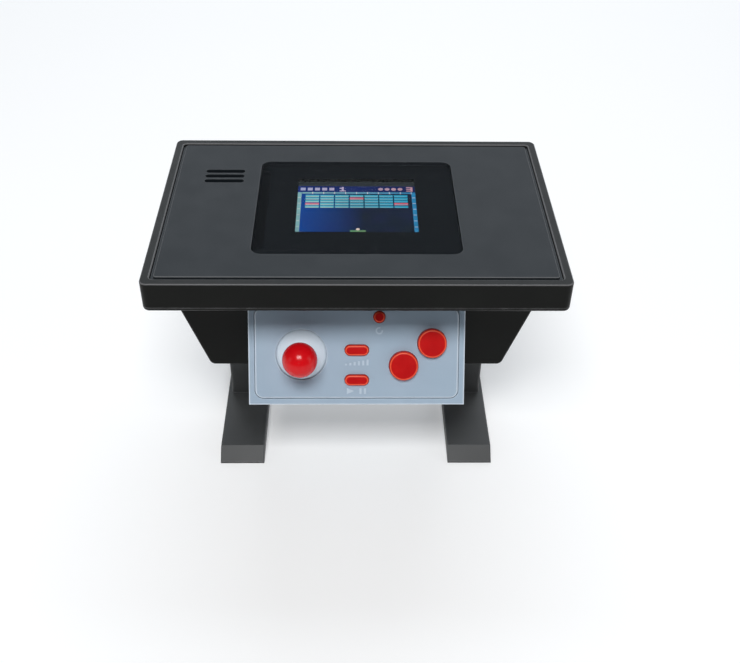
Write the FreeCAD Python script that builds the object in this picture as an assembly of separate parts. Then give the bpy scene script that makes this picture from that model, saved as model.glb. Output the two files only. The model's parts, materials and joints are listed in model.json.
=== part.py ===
import FreeCAD, Part
import math
import os
from collections import namedtuple

# A miniature table-top arcade game, held in two hands: a flat table with a colour display,
# a tapered body under it with a sloped control box in front, and two pedestal legs.
#
# Millimetres. +X is the player's right, +Y points away from the player, +Z is up. The floor is
# Z = 0. Everything is built about the table's centre line, and save() shifts it so that the
# origin ends up on the floor under the middle of the whole object.

V = FreeCAD.Vector

# --- driving dimensions ---------------------------------------------------------------------
HEIGHT = 75.0
TABLE_WIDTH = 116.0
TABLE_DEPTH = 78.0
TABLE_THICKNESS = 9.3
TABLE_CORNER = 2.0
UNDERSIDE = HEIGHT - TABLE_THICKNESS
SEAM = UNDERSIDE + 1.3              # where the upper frame meets the lower housing

BODY_BOTTOM = 31.6
BODY_DEPTH = 44.0
BODY_TOP_HALF = 56.0
BODY_BOTTOM_HALF = 44.3
WALL = 1.8
FLOOR_TOP = BODY_BOTTOM + WALL
INNER_DEPTH = BODY_DEPTH / 2 - WALL  # half the clear depth inside the body

GAP = 0.1                           # easy clearance between parts that sit in each other
RUNNING = 0.06                      # radial clearance of a pin that turns in its hole

# Table top: a panel sunk in the frame, a lens sunk in the panel
RIM = 2.5                           # frame visible outside the groove
GROOVE = 0.9
GROOVE_DEPTH = 0.8
PANEL_THICKNESS = 2.0
PANEL_BOTTOM = HEIGHT - PANEL_THICKNESS
POCKET_WIDTH = TABLE_WIDTH - 2 * RIM
POCKET_DEPTH = TABLE_DEPTH - 2 * RIM
LEDGE = 1.7

LENS_WIDTH = 58.8
LENS_DEPTH = 50.1
LENS_CORNER = 2.9
LENS_THICKNESS = 1.2
LENS_Y = 0.15
LENS_BOTTOM = HEIGHT - LENS_THICKNESS
MASK_THICKNESS = 0.1
LENS_SEAT = 3.0

WINDOW_WIDTH = 35.5
WINDOW_DEPTH = 29.2
WINDOW_Y = 2.4

DISPLAY_Y = 0.75
GLASS_WIDTH = 41.0
GLASS_DEPTH = 34.0
GLASS_TOP = 72.2
GLASS_THICKNESS = 1.2
BACKLIGHT_THICKNESS = 1.0
DISPLAY_BOTTOM = 69.2

SLOT_LENGTH = 12.0
SLOT_WIDTH = 1.9
SLOT_PITCH = 2.85
SPEAKER_X = -40.4
SPEAKER_Y = 16.4
SPEAKER_RADIUS = 9.0

BOARD_TOP = 66.0
BOARD_THICKNESS = 1.6
BOARD_BOTTOM = BOARD_TOP - BOARD_THICKNESS
BOARD_WIDTH = 80.0
BOARD_DEPTH = 38.0
BOARD_POSTS = [(-36.0, -15.5), (-36.0, 3.0), (36.0, -15.5), (36.0, 15.5)]

CASE_SCREWS = [(x, y) for x in (-50.0, 50.0) for y in (-31.0, 31.0)]

# Control box: its face leans back, and passes straight below the table's front edge at the
# height of the body's underside
FACE_TILT = 31.2                    # from upright
FACE_LENGTH = 31.4
BOX_HALF_WIDTH = 31.5
BOX_DROP = 0.65                     # how far the box reaches below the body
BOX_EDGE = 0.4                      # rounding round the face
FACE_WALL = 1.8
PLATE_WIDTH = 59.0
PLATE_HEIGHT = 26.4
PLATE_CORNER = 2.2
PLATE_LOW = 1.7                     # lower edge of the plate, up the face
PLATE_TOP = 0.7                     # how far the plate stands out of the box
PLATE_SEAT = 0.8                    # and how far it is let in
PLATE_GAP = 0.3                     # fine groove left round it
KEY_BOARD_FRONT = -4.4
KEY_BOARD_THICKNESS = 1.0
KEY_BOARD_BACK = KEY_BOARD_FRONT - KEY_BOARD_THICKNESS
KEY_BOARD_POSTS = [(6.3, 11.4), (24.5, 8.0), (14.5, 25.4)]

Button = namedtuple("Button", "name x up length height top lip dome_radius")
BUTTONS = [
    Button("upper_action_button", 21.8, 18.0, 8.5, 8.5, 2.5, 0.8, 2.3),
    Button("lower_action_button", 13.6, 11.4, 8.5, 8.5, 2.5, 0.8, 2.3),
    Button("volume_button", 0.0, 15.9, 7.1, 3.2, 1.7, 0.6, 1.4),
    Button("start_button", 0.0, 7.1, 7.1, 3.2, 1.7, 0.6, 1.4),
    Button("reset_button", 6.5, 25.6, 3.5, 3.5, 1.1, 0.6, 1.4),
]
BUTTON_FIT = 0.1
LIP_TOP = -FACE_WALL - 0.1
LIP_THICKNESS = 0.7

# Joystick, in the face's own axes
STICK_X = -16.1
STICK_UP = 14.5
PIVOT = -5.4                        # below the face
DOME_RADIUS = 9.25
DOME_THICKNESS = 1.1
DOME_RIM = 3.25                     # rim height above the pivot
DOME_GAP = 0.35
BALL_RADIUS = 5.0
BALL_HEIGHT = 9.3
SHAFT_RADIUS = 1.5
RING_INNER = 2.9
RING_OUTER = 4.7
RING_HALF_HEIGHT = 1.0
PIN_RADIUS = 0.6
CHEEK_INNER = 5.0
CHEEK_OUTER = 7.0
STICK_BASE_TOP = PIVOT - 3.6
STICK_BASE_THICKNESS = 1.0
STICK_POSTS = [(-27.5, 14.5), (-5.2, 11.5)]

# Where the control box is held to the body: two screws low down, two hooks at the top
BOX_SCREWS = [(-0.6, 35.4), (24.0, 35.4)]
OPENING_LOW = 37.4
OPENING_HIGH = 57.0
HOOKS_X = (-15.0, 15.0)

# Legs
LEG_X = 36.0
UPRIGHT_WIDTH = 11.0
UPRIGHT_DEPTH = 10.0
FOOT_WIDTH = 13.8
FOOT_HALF_LENGTH = 33.5
FOOT_THICKNESS = 4.0
FOOT_TIP = 0.7
FOOT_BEVEL = 4.1
LEG_SCREW_Y = 2.8

# Three AAA cells, side by side, lying across the body
CELL_RADIUS = 5.25
CELL_LENGTH = 43.7
NUB_LENGTH = 0.8
CELL_PITCH = 10.9
CELL_MIDDLE_Y = 3.0
DOOR_LIP_TOP = FLOOR_TOP + 0.9
CELL_Z = DOOR_LIP_TOP + 0.1 + CELL_RADIUS
BAY_HALF_WIDTH = 25.7
BAY_ROOF = CELL_Z + CELL_RADIUS + 0.4
HOLDER_WALL = 1.4
CONTACT_THICKNESS = 0.3
DOOR_HALF_WIDTH = 23.9
DOOR_LIP_HALF_WIDTH = 25.2
DOOR_FRONT = -13.2

SWITCH_X = 30.0
SWITCH_Z = 52.0
SWITCH_SLOT = 7.6
SWITCH_THROW = 3.2

BACK_WALL = BODY_DEPTH / 2
FRONT_WALL = -BODY_DEPTH / 2
FACE = FreeCAD.Placement(V(0, -TABLE_DEPTH / 2, BODY_BOTTOM),
                         FreeCAD.Rotation(V(1, 0, 0), 90 - FACE_TILT))


# --- small tools ----------------------------------------------------------------------------
def box(x0, x1, y0, y1, z0, z1):
    return Part.makeBox(x1 - x0, y1 - y0, z1 - z0, V(x0, y0, z0))


def rod(radius, start, end):
    direction = end.sub(start)
    return Part.makeCylinder(radius, direction.Length, start, direction)


def post(radius, x, y, z0, z1):
    return rod(radius, V(x, y, z0), V(x, y, z1))


def prism(points, push):
    """Solid made by pushing a closed flat outline along a vector."""
    return Part.Face(Part.makePolygon(points + points[:1])).extrude(push)


def rounded(width, depth, z0, z1, corner, middle_y=0.0):
    """Upright block, centred on X, with rounded corners in plan."""
    block = box(-width / 2, width / 2, middle_y - depth / 2, middle_y + depth / 2, z0, z1)
    upright = [e for e in block.Edges if abs(e.tangentAt(e.FirstParameter).z) > 0.9]
    return block.makeFillet(corner, upright)


def oval(length, height, z0, z1):
    """Upright prism with a stadium outline, which is a circle when both sizes are equal."""
    radius = height / 2
    half = (length - height) / 2
    if half == 0:
        return post(radius, 0, 0, z0, z1)
    middle = box(-half, half, -radius, radius, z0, z1)
    ends = [post(radius, x, 0, z0, z1) for x in (-half, half)]
    return middle.multiFuse(ends).removeSplitter()


def level_edges(shape, z):
    """The edges that lie at one height."""
    return [e for e in shape.Edges
            if abs(e.BoundBox.ZMin - z) < 1e-4 and abs(e.BoundBox.ZMax - z) < 1e-4]


def moved(shape, x=0.0, y=0.0, z=0.0):
    copy = shape.copy()
    copy.translate(V(x, y, z))
    return copy


def on_face(shape):
    """Carry a shape from the control face's own axes (X, up the slope, outwards) to the object."""
    copy = shape.copy()
    copy.Placement = FACE.multiply(copy.Placement)
    return copy


def screw(head_radius, head_height, shank_radius, length):
    """Screw with a cross recess: head above Z = 0, shank below."""
    body = post(head_radius, 0, 0, 0, head_height).fuse(post(shank_radius, 0, 0, -length, 0))
    arm = head_radius * 0.6
    for x, y in ((arm, 0.2), (0.2, arm)):
        body = body.cut(box(-x, x, -y, y, head_height * 0.5, head_height))
    return body.removeSplitter()


def aimed(shape, position, direction):
    """Turn a shape's +Z to a direction and bring its origin to a position."""
    copy = shape.copy()
    copy.Placement = FreeCAD.Placement(position, FreeCAD.Rotation(V(0, 0, 1), direction))
    return copy


def wire_along(points, radius):
    curve = Part.BSplineCurve()
    curve.interpolate(points)
    path = Part.Wire(curve.toShape())
    profile = Part.Wire(Part.makeCircle(radius, points[0], curve.tangent(0.0)[0]))
    return path.makePipeShell([profile], True, False)


def ribbon_along(points, width, thickness):
    """Flat cable whose width lies along X and whose path lies in one upright plane."""
    curve = Part.BSplineCurve()
    curve.interpolate(points)
    path = Part.Wire(curve.toShape())
    side = curve.tangent(0.0)[0].cross(V(1, 0, 0)).normalize().multiply(thickness / 2)
    across = V(width / 2, 0, 0)
    corners = [points[0] + across + side, points[0] + across - side,
               points[0] - across - side, points[0] - across + side]
    return path.makePipeShell([Part.makePolygon(corners + corners[:1])], True, True)


# --- table ----------------------------------------------------------------------------------
def table_slab():
    slab = rounded(TABLE_WIDTH, TABLE_DEPTH, UNDERSIDE, HEIGHT, TABLE_CORNER)
    slab = slab.makeFillet(0.4, level_edges(slab, HEIGHT))
    return slab.makeFillet(1.0, level_edges(slab, UNDERSIDE))


def table_frame():
    big = TABLE_WIDTH
    frame = table_slab().common(box(-big, big, -big, big, SEAM, HEIGHT))
    pocket = rounded(POCKET_WIDTH, POCKET_DEPTH, PANEL_BOTTOM, HEIGHT + 1, TABLE_CORNER / 2)
    frame = frame.cut(pocket)
    frame = frame.makeFillet(0.5, [e for e in level_edges(frame, HEIGHT)
                                   if abs(e.CenterOfMass.x) < POCKET_WIDTH / 2 + 0.1
                                   and abs(e.CenterOfMass.y) < POCKET_DEPTH / 2 + 0.1])
    frame = frame.cut(rounded(POCKET_WIDTH - 2 * LEDGE, POCKET_DEPTH - 2 * LEDGE,
                              SEAM, HEIGHT, TABLE_CORNER / 2))
    frame = frame.cut(rounded(POCKET_WIDTH, POCKET_DEPTH, SEAM, PANEL_BOTTOM - 1.0, 1.0))
    for x, y in CASE_SCREWS:
        side_x = math.copysign(POCKET_WIDTH / 2 + 0.2, x)
        side_y = math.copysign(POCKET_DEPTH / 2 + 0.2, y)
        near_x = x - math.copysign(3.2, x)
        near_y = y - math.copysign(3.2, y)
        block = box(min(near_x, side_x), max(near_x, side_x),
                    min(near_y, side_y), max(near_y, side_y), SEAM + 1.9, PANEL_BOTTOM)
        frame = frame.fuse(block).cut(post(1.05, x, y, SEAM, PANEL_BOTTOM - 0.6))
    return frame.removeSplitter()


def top_panel():
    panel = rounded(POCKET_WIDTH - 2 * GROOVE, POCKET_DEPTH - 2 * GROOVE,
                    HEIGHT - GROOVE_DEPTH, HEIGHT, 0.8)
    panel = panel.makeFillet(0.3, level_edges(panel, HEIGHT))
    foot = rounded(POCKET_WIDTH - 2 * GAP, POCKET_DEPTH - 2 * GAP,
                   PANEL_BOTTOM, HEIGHT - GROOVE_DEPTH, 0.9)
    panel = panel.fuse(foot)
    panel = panel.cut(rounded(LENS_WIDTH + 2 * GAP, LENS_DEPTH + 2 * GAP,
                              LENS_BOTTOM - MASK_THICKNESS, HEIGHT + 1, LENS_CORNER + GAP, LENS_Y))
    panel = panel.cut(rounded(LENS_WIDTH - 2 * LENS_SEAT, LENS_DEPTH - 2 * LENS_SEAT,
                              PANEL_BOTTOM - 1, HEIGHT, 1.5, LENS_Y))
    for row in (-1, 0, 1):
        slot = oval(SLOT_LENGTH, SLOT_WIDTH, PANEL_BOTTOM - 1, HEIGHT + 1)
        panel = panel.cut(moved(slot, SPEAKER_X, SPEAKER_Y + row * SLOT_PITCH))
    for x, y in BOARD_POSTS:
        panel = panel.fuse(post(2.2, x, y, BOARD_TOP, PANEL_BOTTOM))
        panel = panel.cut(post(0.85, x, y, BOARD_TOP - 1, BOARD_TOP + 5))
    return panel.removeSplitter()


def screen_lens():
    lens = rounded(LENS_WIDTH, LENS_DEPTH, LENS_BOTTOM, HEIGHT, LENS_CORNER, LENS_Y)
    return lens.makeFillet(0.15, level_edges(lens, HEIGHT))


def screen_mask():
    mask = rounded(LENS_WIDTH, LENS_DEPTH, LENS_BOTTOM - MASK_THICKNESS, LENS_BOTTOM,
                   LENS_CORNER, LENS_Y)
    return mask.cut(rounded(WINDOW_WIDTH, WINDOW_DEPTH, LENS_BOTTOM - 1, HEIGHT, 0.3, WINDOW_Y))


def display_glass():
    return rounded(GLASS_WIDTH, GLASS_DEPTH, GLASS_TOP - GLASS_THICKNESS, GLASS_TOP, 0.4, DISPLAY_Y)


def backlight():
    top = GLASS_TOP - GLASS_THICKNESS
    return rounded(GLASS_WIDTH, GLASS_DEPTH, top - BACKLIGHT_THICKNESS, top, 0.4, DISPLAY_Y)


def display_frame():
    frame = rounded(GLASS_WIDTH + 3, GLASS_DEPTH + 3, DISPLAY_BOTTOM, GLASS_TOP, 1.0, DISPLAY_Y)
    shelf = GLASS_TOP - GLASS_THICKNESS - BACKLIGHT_THICKNESS
    frame = frame.cut(rounded(GLASS_WIDTH + 2 * GAP, GLASS_DEPTH + 2 * GAP, shelf, HEIGHT, 0.5,
                              DISPLAY_Y))
    for x in (-18.0, 18.0):
        for y in (-14.0, 14.0):
            frame = frame.fuse(post(1.2, x, DISPLAY_Y + y, BOARD_TOP, DISPLAY_BOTTOM))
    return frame.removeSplitter()


def display_ribbon():
    y = DISPLAY_Y - GLASS_DEPTH / 2 - 1.5
    return ribbon_along([V(0, y - 0.1, 70.4), V(0, y - 0.9, 69.4), V(0, y - 0.6, 67.2),
                         V(0, y + 1.4, BOARD_TOP + 0.12)], 14.0, 0.15)


def speaker_frame():
    top = PANEL_BOTTOM
    frame = post(SPEAKER_RADIUS, SPEAKER_X, SPEAKER_Y, top - 2.8, top)
    return frame.cut(post(SPEAKER_RADIUS - 0.7, SPEAKER_X, SPEAKER_Y, top - 2.2, top + 1))


def speaker_cone():
    """Thin pressed film: a domed middle inside a shallow funnel."""
    rim = PANEL_BOTTOM - 0.5
    outline = [V(0, 0, rim - 0.9), V(2.6, 0, rim - 1.5), V(8.1, 0, rim - 0.2), V(8.1, 0, rim),
               V(2.6, 0, rim - 1.3), V(0, 0, rim - 0.7)]
    film = Part.Face(Part.makePolygon(outline + outline[:1]))
    return moved(film.revolve(V(0, 0, 0), V(0, 0, 1), 360), SPEAKER_X, SPEAKER_Y)


def speaker_magnet():
    top = PANEL_BOTTOM - 2.8
    magnet = post(4.8, SPEAKER_X, SPEAKER_Y, top - 1.7, top)
    return magnet.makeFillet(0.3, level_edges(magnet, top - 1.7))


def speaker_wires():
    wires = []
    for y in (7.6, 9.0):
        points = [V(SPEAKER_X + 7.8, y + 4.2, 69.9), V(SPEAKER_X + 9.6, y + 2, 68.4),
                  V(SPEAKER_X + 9.8, y, 66.4)]
        wires.append(wire_along(points, 0.3))
    return Part.makeCompound(wires)


def main_board():
    board = rounded(BOARD_WIDTH, BOARD_DEPTH, BOARD_BOTTOM, BOARD_TOP, 1.0)
    for x, y in BOARD_POSTS:
        board = board.cut(post(1.1, x, y, BOARD_BOTTOM - 1, BOARD_TOP + 1))
    return board


def chip_cover():
    """Drop of hard resin over the bare chip, under the main board."""
    ball_radius = 14.0
    height = 1.4
    ball = Part.makeSphere(ball_radius, V(4.0, 2.0, BOARD_BOTTOM - height + ball_radius))
    return ball.common(box(-20, 20, -20, 20, BOARD_BOTTOM - height - 1, BOARD_BOTTOM))


def capacitors():
    cans = []
    for x in (25.5, 31.5):
        can = post(2.5, x, 6.0, BOARD_BOTTOM - 6.5, BOARD_BOTTOM)
        cans.append(can.makeFillet(0.4, level_edges(can, BOARD_BOTTOM - 6.5)))
    return Part.makeCompound(cans)


def crystal():
    can = oval(10.2, 4.0, BOARD_BOTTOM - 3.4, BOARD_BOTTOM)
    can = can.makeFillet(0.4, level_edges(can, BOARD_BOTTOM - 3.4))
    return moved(can, 17.0, -11.0)


def board_screws():
    one = screw(1.7, 1.0, 0.8, 5.0)
    return Part.makeCompound([aimed(one, V(x, y, BOARD_BOTTOM), V(0, 0, -1))
                              for x, y in BOARD_POSTS])


def case_screws():
    one = screw(2.1, 0.8, 1.0, 4.6)
    return Part.makeCompound([aimed(one, V(x, y, SEAM - 0.1), V(0, 0, -1))
                              for x, y in CASE_SCREWS])


# --- body -----------------------------------------------------------------------------------
def body_half_width(z):
    share = (z - BODY_BOTTOM) / (UNDERSIDE - BODY_BOTTOM)
    return BODY_BOTTOM_HALF + share * (BODY_TOP_HALF - BODY_BOTTOM_HALF)


def taper(z0, z1, inset, half_depth):
    """Prism with the body's sloping sides, drawn in by a wall's thickness."""
    low = body_half_width(z0) - inset
    high = body_half_width(z1) - inset
    outline = [V(-low, -half_depth, z0), V(low, -half_depth, z0),
               V(high, -half_depth, z1), V(-high, -half_depth, z1)]
    return prism(outline, V(0, 2 * half_depth, 0))


def body_outside():
    body = taper(BODY_BOTTOM, UNDERSIDE, 0.0, BODY_DEPTH / 2)
    under = [e for e in level_edges(body, BODY_BOTTOM) if e.BoundBox.YLength > 1]
    body = body.makeFillet(2.0, under)
    corners = [e for e in body.Edges if e.BoundBox.ZLength > 20 and e.BoundBox.YLength < 0.1]
    return body.makeFillet(0.7, corners)


def lower_housing():
    big = TABLE_WIDTH
    housing = table_slab().common(box(-big, big, -big, big, UNDERSIDE, SEAM))
    housing = housing.fuse(rounded(POCKET_WIDTH - 2 * GAP, POCKET_DEPTH - 2 * GAP,
                                   SEAM, SEAM + 0.8, 0.9))
    housing = housing.fuse(body_outside())
    housing = housing.cut(taper(FLOOR_TOP, SEAM + 2, WALL + 0.1, INNER_DEPTH))
    for x, y in CASE_SCREWS:
        housing = housing.fuse(post(3.2, x, y, SEAM, SEAM + 1.8))
        housing = housing.cut(post(2.3, x, y, UNDERSIDE - 1, SEAM - 0.1))
        housing = housing.cut(post(1.15, x, y, UNDERSIDE, SEAM + 3))
    housing = housing.cut(front_opening())
    housing = housing.cut(door_way())
    for x in (-LEG_X, LEG_X):
        for y in (-LEG_SCREW_Y, LEG_SCREW_Y):
            housing = housing.cut(post(1.25, x, y, BODY_BOTTOM - 1, FLOOR_TOP + 1))
    for x, z in BOX_SCREWS:
        housing = housing.cut(rod(1.1, V(x, FRONT_WALL - 1, z), V(x, -INNER_DEPTH + 1, z)))
    half = SWITCH_SLOT / 2
    housing = housing.cut(box(SWITCH_X - half, SWITCH_X + half, INNER_DEPTH - 1, BACK_WALL + 1,
                              SWITCH_Z - 1.9, SWITCH_Z + 1.9))
    for x0 in (SWITCH_X - 6.0, SWITCH_X + 4.6):
        housing = housing.fuse(box(x0, x0 + 1.4, INNER_DEPTH - 3.0, INNER_DEPTH + 0.2,
                                   SWITCH_Z - 2.2, SWITCH_Z + 2.2))
    return housing.removeSplitter()


def front_opening():
    """Way through the body's front wall into the control box."""
    return box(-29.0, 29.0, FRONT_WALL - 1, -INNER_DEPTH + 1, OPENING_LOW, OPENING_HIGH)


def door_way():
    """Opening in the floor, run out through the back wall so that the door can slide off."""
    floor = box(-DOOR_HALF_WIDTH - GAP, DOOR_HALF_WIDTH + GAP, DOOR_FRONT - GAP, BACK_WALL + 1,
                BODY_BOTTOM - 1, FLOOR_TOP + 0.5)
    notch = box(-DOOR_LIP_HALF_WIDTH - GAP, DOOR_LIP_HALF_WIDTH + GAP, INNER_DEPTH - 1,
                BACK_WALL + 1, FLOOR_TOP, DOOR_LIP_TOP + 0.05)
    return floor.fuse(notch)


def battery_door():
    door = box(-DOOR_HALF_WIDTH, DOOR_HALF_WIDTH, DOOR_FRONT, BACK_WALL, BODY_BOTTOM, FLOOR_TOP)
    lip = box(-DOOR_LIP_HALF_WIDTH, DOOR_LIP_HALF_WIDTH, DOOR_FRONT, BACK_WALL,
              FLOOR_TOP + 0.05, DOOR_LIP_TOP)
    door = door.fuse(box(-DOOR_HALF_WIDTH, DOOR_HALF_WIDTH, DOOR_FRONT, BACK_WALL,
                         FLOOR_TOP - 0.5, FLOOR_TOP + 0.5)).fuse(lip)
    for row in range(5):
        y = BACK_WALL - 6.0 - 1.6 * row
        door = door.cut(box(-8.0, 8.0, y, y + 0.8, BODY_BOTTOM - 1, BODY_BOTTOM + 0.4))
    return door.removeSplitter()


def cell_rows():
    return [CELL_MIDDLE_Y + row * CELL_PITCH for row in (-1, 0, 1)]


def battery_holder():
    """Upturned tray over the cells, with short ribs that keep them apart."""
    front = cell_rows()[0] - CELL_RADIUS - 0.2
    rear = cell_rows()[2] + CELL_RADIUS + 0.2
    half = BAY_HALF_WIDTH
    holder = box(-half - HOLDER_WALL, half + HOLDER_WALL, front - HOLDER_WALL, INNER_DEPTH - 0.05,
                 FLOOR_TOP, BAY_ROOF + HOLDER_WALL)
    holder = holder.cut(box(-half, half, front, rear, FLOOR_TOP - 1, BAY_ROOF))
    holder = holder.cut(box(-half, half, 0, BACK_WALL, FLOOR_TOP - 1, DOOR_LIP_TOP + 0.1))
    for y in cell_rows()[:2]:
        middle = y + CELL_PITCH / 2
        holder = holder.fuse(box(-20, 20, middle - 0.6, middle + 0.6, BAY_ROOF - 1.6, BAY_ROOF))
    return holder.removeSplitter()


def battery(row):
    """One cell, its raised end at the right in even rows and at the left in odd ones."""
    facing = 1 if row % 2 == 0 else -1
    end = facing * (BAY_HALF_WIDTH - CONTACT_THICKNESS - NUB_LENGTH)
    y = cell_rows()[row]
    cell = rod(CELL_RADIUS, V(end, y, CELL_Z), V(end - facing * CELL_LENGTH, y, CELL_Z))
    cell = cell.makeFillet(0.5, [e for e in cell.Edges if e.BoundBox.XLength < 0.1])
    return cell.fuse(rod(1.9, V(end, y, CELL_Z), V(end + facing * NUB_LENGTH, y, CELL_Z)))


def battery_contacts():
    plates = []
    for y in cell_rows():
        for side in (-1, 1):
            x = side * (BAY_HALF_WIDTH - CONTACT_THICKNESS / 2)
            half = CONTACT_THICKNESS / 2
            plates.append(box(x - half, x + half, y - 3.6, y + 3.6, CELL_Z - 3.8, CELL_Z + 3.8))
    return Part.makeCompound(plates)


def battery_springs():
    springs = []
    room = 2 * BAY_HALF_WIDTH - 2 * CONTACT_THICKNESS - NUB_LENGTH - CELL_LENGTH
    for row, y in enumerate(cell_rows()):
        facing = 1 if row % 2 == 0 else -1
        wire = 0.25
        height = room - 2 * wire - 0.1
        helix = Part.makeHelix(height / 4, height, 2.6)
        profile = Part.Wire(Part.makeCircle(wire, V(2.6, 0, 0), V(0, 1, 0)))
        coil = Part.Wire(helix.Edges).makePipeShell([profile], True, True)
        foot = V(-facing * (BAY_HALF_WIDTH - CONTACT_THICKNESS - wire - 0.05), y, CELL_Z)
        springs.append(aimed(coil, foot, V(facing, 0, 0)))
    return Part.makeCompound(springs)


def power_wires():
    runs = [[V(-26.6, 2, BAY_ROOF + 1.9), V(-30, 3, 54), V(-30, 3, 60), V(-28, 2, 64.0)],
            [V(-26.6, 5, BAY_ROOF + 1.9), V(-31, 6, 54), V(-31, 6, 60), V(-28, 5, 64.0)],
            [V(28.5, 15.6, 54.8), V(28.6, 14.6, 58), V(28.5, 13, 61), V(28.0, 12, 64.0)],
            [V(31.5, 15.6, 54.8), V(31.6, 14.6, 58), V(31.5, 13, 61), V(31.0, 12, 64.0)]]
    return Part.makeCompound([wire_along(run, 0.4) for run in runs])


def power_switch():
    top = INNER_DEPTH - GAP
    body = box(SWITCH_X - 4.5, SWITCH_X + 4.5, top - 4.0, top, SWITCH_Z - 2.2, SWITCH_Z + 2.2)
    return body.cut(box(SWITCH_X - 3.4, SWITCH_X + 3.4, top - 2.4, top + 1,
                        SWITCH_Z - 0.9, SWITCH_Z + 0.9))


def switch_knob():
    """Ridged thumb piece at its left stop, on a stem that reaches into the switch."""
    x = SWITCH_X - SWITCH_THROW / 2
    grip = box(x - 2.0, x + 2.0, INNER_DEPTH + 0.1, BACK_WALL + 1.1, SWITCH_Z - 1.6, SWITCH_Z + 1.6)
    for ridge in (-1.2, 0.0, 1.2):
        grip = grip.cut(box(x + ridge - 0.25, x + ridge + 0.25, BACK_WALL + 0.7, BACK_WALL + 2,
                            SWITCH_Z - 2, SWITCH_Z + 2))
    stem = box(x - 1.2, x + 1.2, INNER_DEPTH - 2.2, INNER_DEPTH + 0.2,
               SWITCH_Z - 0.7, SWITCH_Z + 0.7)
    return grip.fuse(stem).removeSplitter()


def leg(x):
    """Pedestal leg: an upright under the body on a foot bar with bevelled ends."""
    end = FOOT_HALF_LENGTH
    half = FOOT_WIDTH / 2
    top = end - FOOT_BEVEL
    outline = [V(-half, -end, 0), V(-half, end, 0), V(-half, end, FOOT_TIP),
               V(-half, top, FOOT_THICKNESS), V(-half, -top, FOOT_THICKNESS),
               V(-half, -end, FOOT_TIP)]
    foot = prism(outline, V(FOOT_WIDTH, 0, 0))
    soft = [e for e in foot.Edges if e.BoundBox.ZMax > FOOT_TIP + 0.1]
    foot = foot.makeFillet(0.4, soft)
    upright = box(-UPRIGHT_WIDTH / 2, UPRIGHT_WIDTH / 2, -UPRIGHT_DEPTH / 2, UPRIGHT_DEPTH / 2,
                  FOOT_THICKNESS - 1, BODY_BOTTOM)
    upright = upright.makeFillet(0.8, [e for e in upright.Edges if e.BoundBox.ZLength > 5])
    whole = foot.fuse(upright)
    for y in (-LEG_SCREW_Y, LEG_SCREW_Y):
        whole = whole.cut(post(1.05, 0, y, BODY_BOTTOM - 9, BODY_BOTTOM + 1))
    return moved(whole.removeSplitter(), x)


def leg_screws():
    one = screw(2.0, 1.2, 1.0, 9.5)
    return Part.makeCompound([moved(one, x, y, FLOOR_TOP) for x in (-LEG_X, LEG_X)
                              for y in (-LEG_SCREW_Y, LEG_SCREW_Y)])


# --- control box ----------------------------------------------------------------------------
def plate_outline(z0, z1, grow):
    block = rounded(PLATE_WIDTH + 2 * grow, PLATE_HEIGHT + 2 * grow, z0, z1, PLATE_CORNER + grow)
    return moved(block, 0, PLATE_LOW + PLATE_HEIGHT / 2)


def dome_seat():
    """The round, hollow-ground hole through the face that the joystick's dome turns in."""
    ball = Part.makeSphere(DOME_RADIUS + DOME_GAP, V(STICK_X, STICK_UP, PIVOT))
    return ball.common(box(-40, 0, 0, 40, -FACE_WALL - 0.2, 20))


def button_holes():
    holes = []
    for b in BUTTONS:
        hole = oval(b.length + 2 * BUTTON_FIT, b.height + 2 * BUTTON_FIT, -FACE_WALL - 1,
                    PLATE_TOP + 1)
        holes.append(moved(hole, b.x, b.up))
    return holes


def control_panel():
    plate = plate_outline(-PLATE_SEAT, PLATE_TOP, 0.0)
    plate = plate.makeFillet(0.4, level_edges(plate, PLATE_TOP))
    return on_face(plate.cut(button_holes()).cut(dome_seat()))


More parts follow.
